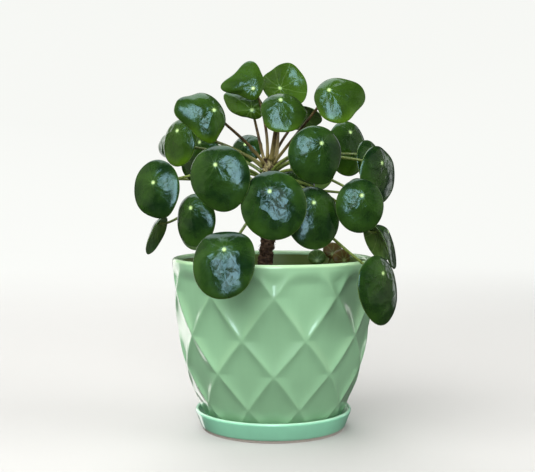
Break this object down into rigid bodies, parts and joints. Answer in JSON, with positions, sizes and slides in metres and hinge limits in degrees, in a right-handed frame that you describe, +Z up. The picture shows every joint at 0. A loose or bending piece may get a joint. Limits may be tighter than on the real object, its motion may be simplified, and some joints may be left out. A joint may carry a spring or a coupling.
{
  "type": "potted chinese money plant",
  "caption": "Round-leaved plant on a short woody trunk in a diamond-faceted glazed pot on a matching saucer.",
  "frame": {"origin": "centre of the saucer's flat underside, where it stands on the table", "axes": "+Z up; the side shown in the picture faces -Y, with +X to its right"},
  "size_m": [0.1952, 0.1778, 0.2754],
  "materials": {
    "pot_glaze": "gloss",
    "saucer_glaze": "gloss",
    "soil": "matte",
    "trunk_bark": "matte",
    "leaf_green": "gloss",
    "young_green": "gloss",
    "pup_green": "satin"
  },
  "bodies": {
    "root": {"saucer": "saucer_glaze", "pot": "pot_glaze", "soil": "soil", "trunk": "trunk_bark", "leaf_01": "leaf_green", "leaf_02": "leaf_green", "leaf_03": "leaf_green", "leaf_04": "leaf_green", "leaf_05": "leaf_green", "leaf_06": "leaf_green", "leaf_07": "leaf_green", "leaf_08": "leaf_green", "leaf_09": "leaf_green", "leaf_10": "leaf_green", "leaf_11": "leaf_green", "leaf_12": "young_green", "leaf_13": "young_green", "leaf_14": "leaf_green", "leaf_15": "leaf_green", "leaf_16": "leaf_green", "leaf_17": "leaf_green", "leaf_18": "leaf_green", "leaf_19": "leaf_green", "leaf_20": "leaf_green", "leaf_21": "leaf_green", "leaf_22": "leaf_green", "leaf_23": "leaf_green", "leaf_24": "leaf_green", "leaf_25": "leaf_green", "leaf_26": "leaf_green", "leaf_27": "leaf_green", "leaf_28": "leaf_green", "leaf_29": "leaf_green", "leaf_30": "leaf_green", "leaf_31": "leaf_green", "leaf_32": "leaf_green", "leaf_33": "leaf_green", "leaf_34": "leaf_green", "pup_1": "pup_green", "pup_2": "pup_green", "pup_3": "pup_green"}
  },
  "joints": []
}
